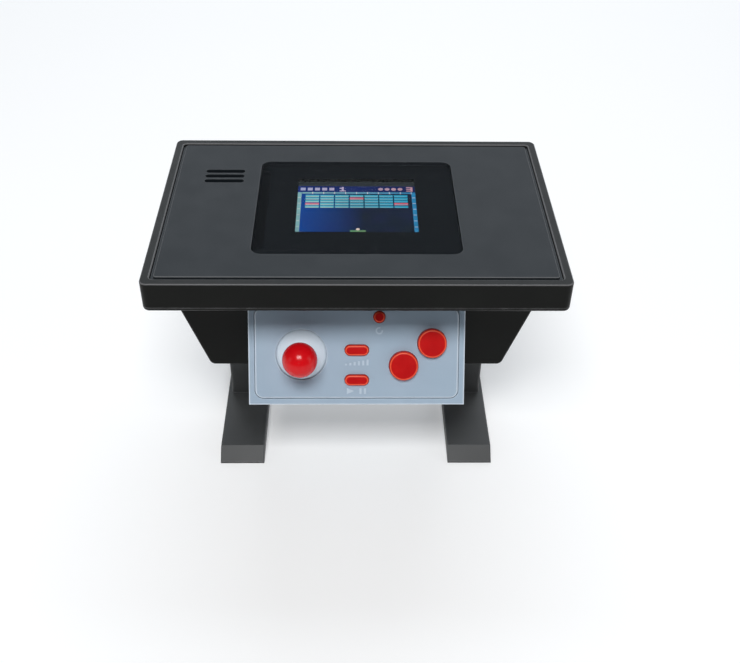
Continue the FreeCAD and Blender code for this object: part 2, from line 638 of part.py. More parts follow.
def control_box():
    tilt = math.radians(FACE_TILT)
    top_y = -TABLE_DEPTH / 2 + FACE_LENGTH * math.sin(tilt)
    top_z = BODY_BOTTOM + FACE_LENGTH * math.cos(tilt)
    foot_y = -TABLE_DEPTH / 2 - BOX_DROP * math.tan(tilt)
    foot_z = BODY_BOTTOM - BOX_DROP
    half = BOX_HALF_WIDTH
    wedge = prism([V(-half, foot_y, foot_z), V(-half, top_y, top_z),
                   V(-half, FRONT_WALL, top_z), V(-half, FRONT_WALL, foot_z)],
                  V(2 * half, 0, 0))
    front = [e for e in wedge.Edges if e.BoundBox.YMin < FRONT_WALL - 1
             and (e.BoundBox.ZLength > 1 or e.BoundBox.YLength < 0.1)]
    wedge = wedge.makeFillet(BOX_EDGE, front)

    # hollow behind the face, open to the body
    inner_floor = BODY_BOTTOM + 1.5
    half = BOX_HALF_WIDTH - WALL
    behind_face = on_face(box(-half, half, -20, 60, -40, -FACE_WALL))
    hollow = behind_face.common(box(-half, half, -60, FRONT_WALL + 1, inner_floor, top_z - 1.5))
    wedge = wedge.cut(hollow)

    parts = []
    for x, up in KEY_BOARD_POSTS:
        parts.append(on_face(post(1.3, x, up, KEY_BOARD_FRONT, -FACE_WALL + 0.5)))
    for x, up in STICK_POSTS:
        parts.append(on_face(post(1.5, x, up, STICK_BASE_TOP, -FACE_WALL + 0.5)))
    for x, z in BOX_SCREWS:
        parts.append(rod(1.9, V(x, FRONT_WALL - 6, z), V(x, FRONT_WALL, z)))
        parts.append(box(x - 0.8, x + 0.8, FRONT_WALL - 6, FRONT_WALL, BODY_BOTTOM + 1, z - 1.5))
    for x in HOOKS_X:
        parts.append(box(x - 3, x + 3, FRONT_WALL - 1.4, -INNER_DEPTH + 1.0,
                         OPENING_HIGH - 1.8, OPENING_HIGH - 0.2))
        parts.append(box(x - 3, x + 3, -INNER_DEPTH + 0.1, -INNER_DEPTH + 1.0,
                         OPENING_HIGH - 1.8, OPENING_HIGH + 1.2))
    wedge = wedge.multiFuse(parts)

    cuts = [on_face(plate_outline(-PLATE_SEAT, PLATE_TOP + 2, PLATE_GAP))]
    cuts.append(on_face(dome_seat()))
    cuts += [on_face(hole) for hole in button_holes()]
    for x, up in KEY_BOARD_POSTS:
        cuts.append(on_face(post(0.75, x, up, KEY_BOARD_FRONT - 1, -FACE_WALL)))
    for x, up in STICK_POSTS:
        cuts.append(on_face(post(0.75, x, up, STICK_BASE_TOP - 1, STICK_BASE_TOP + 5)))
    for x, z in BOX_SCREWS:
        cuts.append(rod(0.95, V(x, FRONT_WALL - 5, z), V(x, FRONT_WALL + 1, z)))
    return wedge.cut(cuts).removeSplitter()


def button(b):
    cap = oval(b.length, b.height, LIP_TOP - LIP_THICKNESS, b.top)
    cap = cap.makeFillet(0.7, level_edges(cap, b.top))
    lip = oval(b.length + 2 * b.lip, b.height + 2 * b.lip, LIP_TOP - LIP_THICKNESS, LIP_TOP)
    return on_face(moved(cap.fuse(lip).removeSplitter(), b.x, b.up))


def key_dome(b):
    """Rubber dome that pushes the button back up, standing on the key board."""
    height = LIP_TOP - LIP_THICKNESS - 0.1 - KEY_BOARD_FRONT
    dome = Part.makeCone(b.dome_radius, b.dome_radius * 0.6, height, V(0, 0, KEY_BOARD_FRONT))
    inside = Part.makeCone(b.dome_radius - 0.5, b.dome_radius * 0.6 - 0.4, height - 0.5,
                           V(0, 0, KEY_BOARD_FRONT))
    return on_face(moved(dome.cut(inside), b.x, b.up))


def key_board():
    board = box(-3.0, 28.4, 5.6, 28.0, KEY_BOARD_BACK, KEY_BOARD_FRONT)
    for x, up in KEY_BOARD_POSTS:
        board = board.cut(post(0.95, x, up, KEY_BOARD_BACK - 1, KEY_BOARD_FRONT + 1))
    return on_face(board)


def key_board_screws():
    one = screw(1.4, 0.8, 0.7, 3.2)
    return Part.makeCompound([on_face(aimed(one, V(x, up, KEY_BOARD_BACK), V(0, 0, -1)))
                              for x, up in KEY_BOARD_POSTS])


def control_ribbon():
    start = FACE.multVec(V(8.0, 26.0, KEY_BOARD_BACK - 0.12))
    return ribbon_along([start, V(8.0, start.y + 2.4, start.z + 2.6), V(8.0, -14.6, 59.5),
                         V(8.0, -14.0, BOARD_BOTTOM - 0.2)], 10.0, 0.2)


def control_box_screws():
    one = screw(1.8, 1.0, 0.9, 6.0)
    return Part.makeCompound([aimed(one, V(x, -INNER_DEPTH, z), V(0, 1, 0))
                              for x, z in BOX_SCREWS])


def at_stick(shape):
    """Carry a shape drawn about the joystick's pivot to the object."""
    return on_face(moved(shape, STICK_X, STICK_UP, PIVOT))


def joystick_base():
    left = STICK_POSTS[0][0] - STICK_X - 1.5
    right = STICK_POSTS[1][0] - STICK_X + 1.5
    top = STICK_BASE_TOP - PIVOT
    base = box(left, right, -5.5, 5.5, top - STICK_BASE_THICKNESS, top)
    for side in (-1, 1):
        near, far = sorted((side * CHEEK_INNER, side * CHEEK_OUTER))
        base = base.fuse(box(near, far, -1.8, 1.8, top - 0.5, 1.4))
    base = base.cut(rod(PIN_RADIUS + RUNNING, V(-8, 0, 0), V(8, 0, 0)))
    for x, up in STICK_POSTS:
        base = base.cut(post(0.95, x - STICK_X, up - STICK_UP, top - 3, top + 1))
    return at_stick(base.removeSplitter())


def joystick_screws():
    one = screw(1.5, 0.9, 0.7, 4.6)
    back = STICK_BASE_TOP - STICK_BASE_THICKNESS
    return Part.makeCompound([on_face(aimed(one, V(x, up, back), V(0, 0, -1)))
                              for x, up in STICK_POSTS])


def gimbal_ring():
    ring = post(RING_OUTER, 0, 0, -RING_HALF_HEIGHT, RING_HALF_HEIGHT)
    ring = ring.fuse(rod(PIN_RADIUS, V(-6.6, 0, 0), V(6.6, 0, 0)))
    ring = ring.cut(post(RING_INNER, 0, 0, -2, 2))
    ring = ring.cut(rod(PIN_RADIUS + RUNNING, V(0, -6, 0), V(0, 6, 0)))
    return at_stick(ring)


def joystick_shaft():
    shaft = post(SHAFT_RADIUS, 0, 0, -2.4, BALL_HEIGHT - PIVOT + 1.0)
    shaft = shaft.fuse(rod(PIN_RADIUS, V(0, -4.4, 0), V(0, 4.4, 0)))
    return at_stick(shaft)


def joystick_dome():
    shell = Part.makeSphere(DOME_RADIUS).cut(Part.makeSphere(DOME_RADIUS - DOME_THICKNESS))
    shell = shell.common(post(DOME_RADIUS + 1, 0, 0, DOME_RIM, DOME_RADIUS + 1))
    return at_stick(shell.cut(post(SHAFT_RADIUS, 0, 0, 0, DOME_RADIUS + 1)))


def joystick_ball():
    centre = BALL_HEIGHT - PIVOT
    ball = Part.makeSphere(BALL_RADIUS, V(0, 0, centre))
    return at_stick(ball.cut(post(SHAFT_RADIUS, 0, 0, 0, centre + 1.0)))


def centering_pad():
    """Rubber ring under the stick's tail that brings it back upright."""
    top = STICK_BASE_TOP - PIVOT
    return at_stick(post(3.6, 0, 0, top, top + 0.7).cut(post(0.9, 0, 0, top - 1, top + 1)))


# --- output ---------------------------------------------------------------------------------
def front_reach():
    """How far forward the joystick's ball comes, measured from the table's centre line."""
    ball = FACE.multVec(V(STICK_X, STICK_UP, BALL_HEIGHT))
    return ball.y - BALL_RADIUS


def save(name, shape):
    shift = -(front_reach() + TABLE_DEPTH / 2) / 2
    moved(shape, 0, shift).exportStep("parts/" + name + ".step")


def main():
    os.makedirs("parts", exist_ok=True)
    pieces = [
        table_frame, top_panel, screen_lens, screen_mask, display_glass, backlight,
        display_frame, display_ribbon, speaker_frame, speaker_cone, speaker_magnet,
        speaker_wires, main_board, chip_cover, capacitors, crystal, board_screws, case_screws,
        lower_housing, battery_door, battery_holder, battery_contacts, battery_springs,
        power_wires, power_switch, switch_knob, leg_screws, control_panel, control_box,
        key_board, key_board_screws, control_ribbon, control_box_screws, joystick_base,
        joystick_screws, gimbal_ring, joystick_shaft, joystick_dome, joystick_ball,
        centering_pad,
    ]
    for piece in pieces:
        save(piece.__name__, piece())
    for row, name in enumerate(("front_battery", "middle_battery", "rear_battery")):
        save(name, battery(row))
    save("left_leg", leg(-LEG_X))
    save("right_leg", leg(LEG_X))
    for b in BUTTONS:
        save(b.name, button(b))
        save(b.name.replace("button", "dome"), key_dome(b))


main()
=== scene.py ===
import json
import math

import bmesh
import bpy
from mathutils import Matrix, Vector


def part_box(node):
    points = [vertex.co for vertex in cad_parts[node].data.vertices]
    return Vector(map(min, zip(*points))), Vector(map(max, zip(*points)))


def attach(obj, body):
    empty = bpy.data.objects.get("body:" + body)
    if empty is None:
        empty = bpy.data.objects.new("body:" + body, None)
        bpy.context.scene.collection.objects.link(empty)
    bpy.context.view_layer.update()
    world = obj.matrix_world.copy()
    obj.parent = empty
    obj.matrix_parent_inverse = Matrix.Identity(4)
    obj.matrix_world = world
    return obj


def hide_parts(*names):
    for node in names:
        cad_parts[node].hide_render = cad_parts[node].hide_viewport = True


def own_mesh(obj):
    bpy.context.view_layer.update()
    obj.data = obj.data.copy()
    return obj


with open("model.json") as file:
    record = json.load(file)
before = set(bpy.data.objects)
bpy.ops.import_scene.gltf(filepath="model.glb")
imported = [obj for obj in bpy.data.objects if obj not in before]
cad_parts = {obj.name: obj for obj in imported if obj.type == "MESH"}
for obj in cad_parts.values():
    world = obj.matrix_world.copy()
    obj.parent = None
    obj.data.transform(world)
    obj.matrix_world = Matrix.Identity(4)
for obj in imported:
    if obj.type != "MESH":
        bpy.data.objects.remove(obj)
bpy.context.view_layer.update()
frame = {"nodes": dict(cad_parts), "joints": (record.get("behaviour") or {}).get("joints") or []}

# Looks for a handheld game in the shape of a small table: a light and a camera, one finish for
# each kind of surface, the picture on its display, the raised marks on its control face and the
# rubber domes under its buttons. Everything is in metres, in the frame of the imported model.

MM = 0.001
NODES = frame["nodes"]
WAVE_SCALE = 0.314  # a Wave texture of this scale repeats once a metre

# --- the control face -------------------------------------------------------------------------
FACE_TILT = 31.2  # degrees, leaning back from upright
FACE_FOOT = Vector((0.0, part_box("table_frame")[0].y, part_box("lower_housing")[0].z))
FACE = Matrix.Translation(FACE_FOOT) @ Matrix.Rotation(math.radians(90 - FACE_TILT), 4, "X")
FACE_OUTWARD = FACE.to_3x3() @ Vector((0, 0, 1))
PLATE_TOP = 0.7 * MM
MARK_LOW = PLATE_TOP - 0.05 * MM
MARK_HIGH = PLATE_TOP + 0.14 * MM

# --- the picture on the display -----------------------------------------------------------------
GLASS_LOW, GLASS_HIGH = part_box("display_glass")
PICTURE_WIDTH = 36.0 * MM
PICTURE_DEPTH = 28.8 * MM
PICTURE_FAR = (GLASS_LOW.y + GLASS_HIGH.y) / 2 + PICTURE_DEPTH / 2
PICTURE_LAYER = 0.02 * MM
PIXEL_ROW = 0.3 * MM
HEADER = 3.4 * MM
WALL = 1.25 * MM
BRICK_COLUMNS = 7
BRICK_ROWS = 5
BRICK_SPAN = 31.3 * MM
BRICK_START = 4.85 * MM
BRICK_PITCH = 1.5 * MM
BRICK_GAP = 0.32 * MM
ODD_BRICKS = ((1, 3), (3, 0), (3, 6))
PADDLE = (4.6 * MM, 0.7 * MM)
PADDLE_DOWN = 24.6 * MM
BALL_RADIUS = 0.55 * MM
DIGIT_BLOCK = (0.64 * MM, 0.5 * MM)
DIGITS = {
    "1": ("010", "110", "010", "010", "111"),
    "3": ("111", "001", "111", "001", "111"),
}

# --- the camera -----------------------------------------------------------------------------------
# Angles are in degrees, the lens and the sensor in millimetres.
CAMERA_PLACE = Vector((-1.966, -244.058, 231.670)) * MM
CAMERA_PITCH = 39.729
CAMERA_YAW = 1.515
CAMERA_ROLL = 1.010
CAMERA_LENS = 47.753
CAMERA_SENSOR = 36.0


# --- node helpers -----------------------------------------------------------------------------
def new_material(name):
    """A new material and its Principled shader."""
    material = bpy.data.materials.new(name)
    material.use_nodes = True
    return material, material.node_tree.nodes["Principled BSDF"]


def add(shader, kind, **values):
    """A node in the shader's own tree; values set its properties or its input sockets."""
    node = shader.id_data.nodes.new(kind)
    for name, value in values.items():
        if hasattr(node, name):
            setattr(node, name, value)
        else:
            node.inputs[name.replace("_", " ")].default_value = value
    return node


def join(shader, source, target):
    shader.id_data.links.new(source, target)


def rgba(colour):
    return (*colour, 1.0)


def noise(shader, size, detail=3.0):
    """Cloudy noise whose lumps are about `size` metres across, fixed to the piece."""
    place = add(shader, "ShaderNodeTexCoord")
    cloud = add(shader, "ShaderNodeTexNoise", Scale=1.0 / size, Detail=detail)
    join(shader, place.outputs["Object"], cloud.inputs["Vector"])
    return cloud.outputs["Fac"]


def remap(shader, value, low, high, start=0.3, stop=0.7):
    """Spreads the value between start and stop over low to high."""
    spread = add(shader, "ShaderNodeMapRange")
    spread.inputs["From Min"].default_value = start
    spread.inputs["From Max"].default_value = stop
    spread.inputs["To Min"].default_value = low
    spread.inputs["To Max"].default_value = high
    join(shader, value, spread.inputs["Value"])
    return spread.outputs["Result"]


def blend_colours(shader, share, first, second):
    """Mixes two colours, each a plain colour or the output of another node."""
    mix = add(shader, "ShaderNodeMix", data_type="RGBA")
    join(shader, share, mix.inputs["Factor"])
    for socket, colour in ((mix.inputs["A"], first), (mix.inputs["B"], second)):
        if isinstance(colour, tuple):
            socket.default_value = rgba(colour)
        else:
            join(shader, colour, socket)
    return mix.outputs["Result"]


def product(shader, first, second):
    multiply = add(shader, "ShaderNodeMath", operation="MULTIPLY")
    join(shader, first, multiply.inputs[0])
    join(shader, second, multiply.inputs[1])
    return multiply.outputs["Value"]


def edges(shader, radius):
    """1 on edges, which take wear and a painted highlight, 0 on flats.

    It follows how far a normal rounded over the radius leans from the real one.
    """
    rounded = add(shader, "ShaderNodeBevel", samples=4, Radius=radius)
    real = add(shader, "ShaderNodeNewGeometry")
    lean = add(shader, "ShaderNodeVectorMath", operation="DOT_PRODUCT")
    join(shader, rounded.outputs["Normal"], lean.inputs[0])
    join(shader, real.outputs["Normal"], lean.inputs[1])
    return remap(shader, lean.outputs["Value"], 0.0, 1.0, 0.998, 0.9)


def rounded_rim(shader, outward, lowest=0.15):
    """1 where a surface turns from its flat top, which faces outward, to its side; 0 on both.

    The turn counts from where the normal's share of outward is `lowest`.
    """
    turn = add(shader, "ShaderNodeTexCoord")
    facing = add(shader, "ShaderNodeVectorMath", operation="DOT_PRODUCT")
    facing.inputs[1].default_value = outward
    join(shader, turn.outputs["Normal"], facing.inputs[0])
    share = facing.outputs["Value"]
    from_side = remap(shader, share, 0.0, 1.0, lowest, lowest + 0.35)
    from_top = remap(shader, share, 1.0, 0.0, 0.93, 0.999)
    return product(shader, from_side, from_top)


def bump(shader, height, depth, strength=1.0):
    relief = add(shader, "ShaderNodeBump", Distance=depth, Strength=strength)
    join(shader, height, relief.inputs["Height"])
    join(shader, relief.outputs["Normal"], shader.inputs["Normal"])


# --- finishes -----------------------------------------------------------------------------------
def moulded(
    name, colour, tone, roughness, grain, grain_depth,
    wear_and_highlight=None, rim_highlight=None, outward=(0, 0, 1), specular=0.5,
):
    """Moulded plastic, cloudy between colour and tone, with a fine grain.

    Its edges take a lighter colour, partly wear and partly a painted highlight, and the turn round a
    flat that faces outward takes a painted highlight colour.
    """
    material, shader = new_material(name)
    cloud = noise(shader, 14 * MM)
    surface = blend_colours(shader, remap(shader, cloud, 0.0, 1.0), colour, tone)
    # Edges go lighter in patches: partly wear, partly a painted highlight where lamps would catch
    # them.
    if wear_and_highlight:
        wear_and_highlight_share = product(
            shader,
            edges(shader, 0.5 * MM),
            remap(shader, noise(shader, 2.2 * MM), 0.45, 0.95, 0.35, 0.65),
        )
        surface = blend_colours(shader, wear_and_highlight_share, surface, wear_and_highlight)
    # A painted highlight on the turn round a flat that faces outward.
    if rim_highlight:
        surface = blend_colours(shader, rounded_rim(shader, outward), surface, rim_highlight)
    join(shader, surface, shader.inputs["Base Color"])
    sheen = remap(shader, noise(shader, 7 * MM), roughness - 0.02, roughness + 0.03)
    join(shader, sheen, shader.inputs["Roughness"])
    shader.inputs["Specular IOR Level"].default_value = specular
    bump(shader, noise(shader, grain, 2.0), grain_depth)
    return material


def black_case():
    # The lighter edges are partly wear and partly painted highlight; the lighter turn round the top
    # is a painted highlight.
    return moulded(
        "moulded_black", (0.003, 0.0033, 0.0028), (0.0045, 0.005, 0.0042),
        roughness=0.36, grain=0.22 * MM, grain_depth=0.006 * MM,
        wear_and_highlight=(0.09, 0.09, 0.093), rim_highlight=(0.13, 0.13, 0.133), specular=0.11,
    )


def black_panel():
    # The lighter edges are partly wear and partly painted highlight; the lighter turn round the top
    # is a painted highlight.
    return moulded(
        "satin_black_panel", (0.011, 0.0145, 0.018), (0.0125, 0.016, 0.0195),
        roughness=0.4, grain=0.18 * MM, grain_depth=0.004 * MM,
        wear_and_highlight=(0.06, 0.065, 0.07), rim_highlight=(0.12, 0.125, 0.13), specular=0.11,
    )


def grey_case():
    # The pale edges are partly wear and partly painted highlight; the pale turn round the face is a
    # painted highlight.
    return moulded(
        "moulded_grey", (0.33, 0.425, 0.525), (0.355, 0.45, 0.55),
        roughness=0.46, grain=0.25 * MM, grain_depth=0.012 * MM,
        wear_and_highlight=(0.5, 0.58, 0.66), rim_highlight=(0.68, 0.76, 0.85), outward=FACE_OUTWARD, specular=0.35,
    )


def painted_shade_leg_grey():
    """The grey of the control box, made darker for the legs as painted shade."""
    # A darker copy of the control box grey: painted shade.
    return moulded(
        "moulded_leg_grey_painted_shade", (0.05, 0.052, 0.053), (0.06, 0.062, 0.063),
        roughness=0.46, grain=0.25 * MM, grain_depth=0.012 * MM,
        wear_and_highlight=(0.15, 0.155, 0.16), specular=0.25,
    )


def mark_grey():
    return moulded(
        "raised_marks", (0.47, 0.56, 0.65), (0.51, 0.6, 0.69),
        roughness=0.4, grain=0.25 * MM, grain_depth=0.006 * MM, specular=0.35,
    )


def dome_grey():
    return moulded(
        "pale_grey_dome", (0.63, 0.72, 0.81), (0.67, 0.76, 0.85),
        roughness=0.3, grain=0.3 * MM, grain_depth=0.005 * MM, wear_and_highlight=(0.78, 0.85, 0.9),
    )


def inner_grey():
    return moulded(
        "inner_grey", (0.26, 0.27, 0.28), (0.31, 0.32, 0.33),
        roughness=0.5, grain=0.3 * MM, grain_depth=0.01 * MM, wear_and_highlight=(0.42, 0.43, 0.44),
    )


def white_plastic():
    return moulded(
        "inner_white", (0.72, 0.72, 0.69), (0.8, 0.8, 0.77),
        roughness=0.45, grain=0.3 * MM, grain_depth=0.01 * MM, wear_and_highlight=(0.86, 0.86, 0.84),
    )


def switch_black():
    return moulded(
        "ribbed_black_knob", (0.02, 0.02, 0.021), (0.03, 0.03, 0.031),
        roughness=0.42, grain=0.3 * MM, grain_depth=0.02 * MM, wear_and_highlight=(0.13, 0.13, 0.13),
    )


def black_resin():
    return moulded(
        "black_resin", (0.012, 0.012, 0.013), (0.022, 0.022, 0.024),
        roughness=0.24, grain=1.4 * MM, grain_depth=0.03 * MM, wear_and_highlight=(0.05, 0.05, 0.052),
    )


def magnet():
    return moulded(
        "plated_magnet", (0.13, 0.13, 0.14), (0.18, 0.18, 0.19),
        roughness=0.35, grain=0.4 * MM, grain_depth=0.01 * MM, wear_and_highlight=(0.3, 0.3, 0.31),
    )


def silicone():
    """Soft grey rubber with a dull bloom."""
    material, shader = new_material("grey_silicone")
    cloud = remap(shader, noise(shader, 3 * MM), 0.0, 1.0)
    surface = blend_colours(shader, cloud, (0.4, 0.41, 0.42), (0.5, 0.51, 0.52))
    join(shader, surface, shader.inputs["Base Color"])
    join(shader, remap(shader, noise(shader, 1.5 * MM), 0.6, 0.75), shader.inputs["Roughness"])
    shader.inputs["Subsurface Weight"].default_value = 0.08
    shader.inputs["Subsurface Scale"].default_value = 1 * MM
    bump(shader, noise(shader, 0.3 * MM), 0.01 * MM)
    return material


def black_film():
    """Printed film bonded under the lens."""
    material, shader = new_material("black_print")
    ink = remap(shader, noise(shader, 9 * MM), 0.0, 1.0)
    surface = blend_colours(shader, ink, (0.008, 0.0095, 0.011), (0.009, 0.011, 0.0125))
    join(shader, surface, shader.inputs["Base Color"])
    join(shader, remap(shader, noise(shader, 6 * MM), 0.4, 0.5), shader.inputs["Roughness"])
    shader.inputs["Specular IOR Level"].default_value = 0.0
    bump(shader, noise(shader, 0.5 * MM), 0.002 * MM)
    return material


def clear_lens():
    """Polished clear plastic, thin enough not to bend what lies under it, with faint smears."""
    material, shader = new_material("clear_lens")
    shader.inputs["Base Color"].default_value = rgba((0.004, 0.005, 0.006))
    join(shader, remap(shader, noise(shader, 7 * MM), 0.1, 0.2), shader.inputs["Roughness"])
    through = add(shader, "ShaderNodeBsdfTransparent")
    through.inputs["Color"].default_value = rgba((0.97, 0.98, 1.0))
    slant = add(shader, "ShaderNodeLayerWeight", Blend=0.5)
    share = remap(shader, slant.outputs["Facing"], 0.03, 0.8, 0.55, 1.0)
    mix = add(shader, "ShaderNodeMixShader")
    join(shader, share, mix.inputs["Fac"])
    join(shader, through.outputs["BSDF"], mix.inputs[1])
    join(shader, shader.outputs["BSDF"], mix.inputs[2])
    outlet = next(node for node in shader.id_data.nodes if node.type == "OUTPUT_MATERIAL")
    join(shader, mix.outputs["Shader"], outlet.inputs["Surface"])
    return material


def display_glass():
    """The dark glass around the lit picture, with a little of its light."""
    material, shader = new_material("display_glass")
    depth = remap(shader, noise(shader, 8 * MM), 0.0, 1.0)
    surface = blend_colours(shader, depth, (0.011, 0.014, 0.016), (0.014, 0.018, 0.02))
    join(shader, surface, shader.inputs["Base Color"])
    join(shader, remap(shader, noise(shader, 5 * MM), 0.3, 0.4), shader.inputs["Roughness"])
    shader.inputs["Specular IOR Level"].default_value = 0.05
    shader.inputs["Emission Color"].default_value = rgba((0.012, 0.016, 0.016))
    shader.inputs["Emission Strength"].default_value = 1.0
    return material


def red_ball():
    """Glossy red plastic, polished by use."""
    material, shader = new_material("gloss_red_ball")
    cloud = remap(shader, noise(shader, 6 * MM), 0.0, 1.0)
    surface = blend_colours(shader, cloud, (0.62, 0.003, 0.007), (0.68, 0.005, 0.009))
    join(shader, surface, shader.inputs["Base Color"])
    join(shader, remap(shader, noise(shader, 1.6 * MM), 0.16, 0.26), shader.inputs["Roughness"])
    shader.inputs["Specular IOR Level"].default_value = 0.28
    bump(shader, noise(shader, 1.2 * MM), 0.004 * MM)
    return material


def red_buttons():
    """Red plastic, with a painted orange highlight round the rounded edge of its top."""
    material, shader = new_material("red_buttons")
    cloud = remap(shader, noise(shader, 4 * MM), 0.0, 1.0)
    surface = blend_colours(shader, cloud, (0.46, 0.004, 0.005), (0.53, 0.006, 0.006))
    # The orange round the rounded edge of the top is a painted highlight.
    rim_highlight = rounded_rim(shader, FACE_OUTWARD, 0.55)
    surface = blend_colours(shader, rim_highlight, surface, (0.9, 0.12, 0.05))
    join(shader, surface, shader.inputs["Base Color"])
    join(shader, remap(shader, noise(shader, 1.8 * MM), 0.3, 0.4), shader.inputs["Roughness"])
    shader.inputs["Specular IOR Level"].default_value = 0.2
    bump(shader, noise(shader, 0.25 * MM), 0.006 * MM)
    return material


def metal(name, colour, roughness, scratch):
    """Plain metal with fine wandering scratches in its gloss, about `scratch` metres apart."""
    material, shader = new_material(name)
    tint = remap(shader, noise(shader, 3 * MM), 0.0, 1.0)
    darker = tuple(0.86 * part for part in colour)
    join(shader, blend_colours(shader, tint, darker, colour), shader.inputs["Base Color"])
    shader.inputs["Metallic"].default_value = 1.0
    sheen = remap(shader, noise(shader, scratch), roughness - 0.08, roughness + 0.1)
    join(shader, sheen, shader.inputs["Roughness"])
    bump(shader, noise(shader, scratch / 2), 0.004 * MM)
    return material


def steel():
    return metal("plated_steel", (0.62, 0.62, 0.6), roughness=0.3, scratch=0.5 * MM)


def shaft_steel():
    return metal("turned_steel", (0.66, 0.67, 0.68), roughness=0.22, scratch=0.3 * MM)


def banded(name, first, second, pitch, axis, roughness, metallic=0.0):
    """Stripes square to one axis: tracks on a flat cable, wire lay, rings on a wrap."""
    material, shader = new_material(name)
    place = add(shader, "ShaderNodeTexCoord")
    stripes = add(
        shader, "ShaderNodeTexWave",
        bands_direction=axis, wave_profile="SIN", Scale=WAVE_SCALE / pitch,
    )
    join(shader, place.outputs["Object"], stripes.inputs["Vector"])
    line = remap(shader, stripes.outputs["Fac"], 0.0, 1.0, 0.35, 0.65)
    join(shader, blend_colours(shader, line, first, second), shader.inputs["Base Color"])
    shader.inputs["Metallic"].default_value = metallic
    sheen = remap(shader, noise(shader, 2 * MM), roughness - 0.05, roughness + 0.08)
    join(shader, sheen, shader.inputs["Roughness"])
    bump(shader, stripes.outputs["Fac"], 0.02 * MM, 0.5)
    return material


def flex_film():
    return banded(
        "flat_cable", (0.42, 0.19, 0.03), (0.6, 0.33, 0.07), pitch=1.0 * MM, axis="X", roughness=0.3
    )


def speaker_film():
    return banded(
        "speaker_cone", (0.2, 0.2, 0.21), (0.27, 0.27, 0.28), pitch=2.0 * MM, axis="Y",
        roughness=0.35,
    )


def wire():
    return banded(
        "red_wire", (0.5, 0.02, 0.02), (0.6, 0.04, 0.03), pitch=1.2 * MM, axis="X", roughness=0.35
    )


def cell_wrap():
    return banded(
        "cell_wrap", (0.17, 0.19, 0.22), (0.36, 0.4, 0.44), pitch=9.0 * MM, axis="X",
        roughness=0.28, metallic=0.6,
    )


def board_green():
    """Solder mask with darker copper tracks showing through."""
    material, shader = new_material("green_board")
    place = add(shader, "ShaderNodeTexCoord")
    tracks = add(
        shader, "ShaderNodeTexVoronoi", distance="MANHATTAN", feature="DISTANCE_TO_EDGE",
        Scale=1 / (3.5 * MM),
    )
    join(shader, place.outputs["Object"], tracks.inputs["Vector"])
    line = remap(shader, tracks.outputs["Distance"], 1.0, 0.0, 0.06, 0.12)
    surface = blend_colours(shader, line, (0.012, 0.13, 0.045), (0.02, 0.21, 0.07))
    join(shader, surface, shader.inputs["Base Color"])
    join(shader, remap(shader, noise(shader, 2 * MM), 0.25, 0.36), shader.inputs["Roughness"])
    bump(shader, line, 0.02 * MM)
    return material


FINISHES = {
    "black_case": black_case,
    "black_panel": black_panel,
    "lens": clear_lens,
    "black_film": black_film,
    "display": display_glass,
    "white_plastic": white_plastic,
    "steel": steel,
    "flex_film": flex_film,
    "speaker_film": speaker_film,
    "magnet": magnet,
    "wire": wire,
    "board_green": board_green,
    "black_resin": black_resin,
    "cell_wrap": cell_wrap,
    "grey_case": grey_case,
    "dome_grey": dome_grey,
    "inner_grey": inner_grey,
    "shaft_steel": shaft_steel,
    "red_ball": red_ball,
    "red_buttons": red_buttons,
    "silicone": silicone,
    "switch_black": switch_black,
}


def finish_nodes():
    """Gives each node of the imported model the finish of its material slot. Returns the finishes."""
    made = {slot: build() for slot, build in FINISHES.items()}
    for node in NODES.values():
        for place in node.material_slots:
            place.material = made[place.material.name.split(".")[0]]
    # The legs take a darker grey as painted shade.
    made["legs"] = painted_shade_leg_grey()
    for leg in ("left_leg", "right_leg"):
        NODES[leg].material_slots[0].material = made["legs"]
    return made


# --- mesh helpers -------------------------------------------------------------------------------
def piece(name, mesh, material, body="cabinet"):
    """A named piece from a finished bmesh, riding on a body."""
    data = bpy.data.meshes.new(name)
    bmesh.ops.recalc_face_normals(mesh, faces=mesh.faces)
    mesh.to_mesh(data)
    mesh.free()
    data.materials.append(material)
    made = bpy.data.objects.new(name, data)
    bpy.context.scene.collection.objects.link(made)
    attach(made, body)
    return made


def prism(mesh, outline, low, high, place=Matrix.Identity(4)):
    """A closed prism over a flat outline, from low to high along the place's Z."""
    bottom = [mesh.verts.new(place @ Vector((x, y, low))) for x, y in outline]
    top = [mesh.verts.new(place @ Vector((x, y, high))) for x, y in outline]
    mesh.faces.new(bottom)
    mesh.faces.new(top)
    for i, corner in enumerate(bottom):
        after = (i + 1) % len(bottom)
        mesh.faces.new((corner, bottom[after], top[after], top[i]))


def rectangle(x, y, width, depth):
    """The corners of a rectangle about x, y."""
    w = width / 2
    d = depth / 2
    return [(x - w, y - d), (x + w, y - d), (x + w, y + d), (x - w, y + d)]


def disc(x, y, radius, count=24):
    turn = 2 * math.pi / count
    angles = [i * turn for i in range(count)]
    return [(x + radius * math.cos(a), y + radius * math.sin(a)) for a in angles]


# --- the picture --------------------------------------------------------------------------------
def across(shader, start, stop):
    """0 at start to 1 at stop, from left to right over the object."""
    place = add(shader, "ShaderNodeTexCoord")
    axes = add(shader, "ShaderNodeSeparateXYZ")
    join(shader, place.outputs["Object"], axes.inputs["Vector"])
    return remap(shader, axes.outputs["X"], 0.0, 1.0, start, stop)


def dim(shader, colour, share):
    scaled = add(shader, "ShaderNodeVectorMath", operation="SCALE")
    join(shader, colour, scaled.inputs[0])
    join(shader, share, scaled.inputs["Scale"])
    return scaled.outputs["Vector"]


def glowing(name):
    """A matt black material whose light is still to be set."""
    material, shader = new_material(name)
    shader.inputs["Emission Strength"].default_value = 1.0
    shader.inputs["Base Color"].default_value = rgba((0.001, 0.001, 0.0015))
    shader.inputs["Roughness"].default_value = 0.5
    shader.inputs["Specular IOR Level"].default_value = 0.0
    return material, shader


